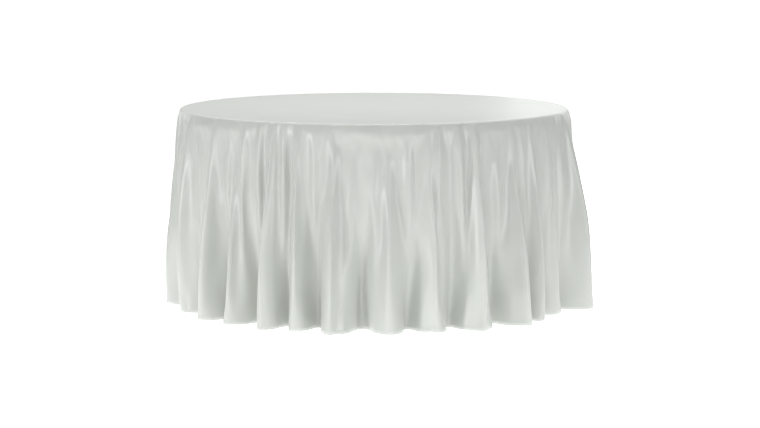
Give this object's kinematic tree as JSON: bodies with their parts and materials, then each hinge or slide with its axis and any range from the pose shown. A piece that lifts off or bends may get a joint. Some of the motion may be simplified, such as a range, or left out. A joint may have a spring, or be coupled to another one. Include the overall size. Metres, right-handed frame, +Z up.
{
  "type": "tablecloth on a round folding table",
  "caption": "Floor-length round satin tablecloth in soft flutes over a round folding table with a moulded top, hinged steel leg pairs and knee braces.",
  "frame": {"origin": "on the floor under the middle of the round top", "axes": "+Z up; the front that the picture shows faces -Y; +X to that view's right; the two leg hinges lie along Y at +X and -X"},
  "size_m": [1.6887, 1.6878, 0.762],
  "materials": {
    "satin": "satin",
    "moulded_top": "matte",
    "frame_steel": "satin",
    "leg_steel": "satin",
    "brace_steel": "satin",
    "zinc": "satin",
    "foot_plastic": "matte"
  },
  "bodies": {
    "table": {"table_top": "moulded_top", "rail_front": "frame_steel", "rail_rear": "frame_steel", "rail_screws": "zinc", "brace_bracket": "frame_steel", "bracket_screws": "zinc", "brace_pin_right": "zinc", "brace_pin_left": "zinc"},
    "cloth": {"tablecloth": "satin", "hem": "satin"},
    "leg_pair_right": {"hinge_tube_right": "leg_steel", "leg_right_front": "leg_steel", "leg_right_rear": "leg_steel", "cross_bar_right": "leg_steel", "feet_right": "foot_plastic", "hinge_caps_right": "foot_plastic"},
    "upper_brace_right": {"upper_link_right": "brace_steel"},
    "lower_brace_right": {"lower_links_right": "brace_steel", "link_rivets_right": "zinc"},
    "leg_pair_left": {"hinge_tube_left": "leg_steel", "leg_left_front": "leg_steel", "leg_left_rear": "leg_steel", "cross_bar_left": "leg_steel", "feet_left": "foot_plastic", "hinge_caps_left": "foot_plastic"},
    "upper_brace_left": {"upper_link_left": "brace_steel"},
    "lower_brace_left": {"lower_links_left": "brace_steel", "link_rivets_left": "zinc"}
  },
  "joints": [
    {"name": "cloth_lift", "type": "slide", "parent": "table", "child": "cloth", "axis": [0, 0, 1], "range_m": [0, 0.8]},
    {"name": "leg_fold_right", "type": "hinge", "parent": "table", "child": "leg_pair_right", "pos_m": [0.56, 0, 0.721], "axis": [0, 1, 0], "range_deg": [0, 90]},
    {"name": "upper_brace_turn_right", "type": "hinge", "parent": "table", "child": "upper_brace_right", "pos_m": [0.14, 0, 0.722], "axis": [0, 1, 0], "range_deg": [-39.2, 0]},
    {"name": "lower_brace_turn_right", "type": "hinge", "parent": "leg_pair_right", "child": "lower_brace_right", "pos_m": [0.582, 0, 0.351], "axis": [0, 1, 0], "range_deg": [0, 46.4]},
    {"name": "leg_fold_left", "type": "hinge", "parent": "table", "child": "leg_pair_left", "pos_m": [-0.56, 0, 0.721], "axis": [0, -1, 0], "range_deg": [0, 90]},
    {"name": "upper_brace_turn_left", "type": "hinge", "parent": "table", "child": "upper_brace_left", "pos_m": [-0.14, 0, 0.722], "axis": [0, -1, 0], "range_deg": [-39.2, 0]},
    {"name": "lower_brace_turn_left", "type": "hinge", "parent": "leg_pair_left", "child": "lower_brace_left", "pos_m": [-0.582, 0, 0.351], "axis": [0, -1, 0], "range_deg": [0, 46.4]}
  ],
  "couplings": [
    {"joint": "upper_brace_turn_right", "follows": "leg_fold_right", "ratio": -0.43343},
    {"joint": "lower_brace_turn_right", "follows": "leg_fold_right", "ratio": 0.51311},
    {"joint": "upper_brace_turn_left", "follows": "leg_fold_left", "ratio": -0.43343},
    {"joint": "lower_brace_turn_left", "follows": "leg_fold_left", "ratio": 0.51311}
  ]
}
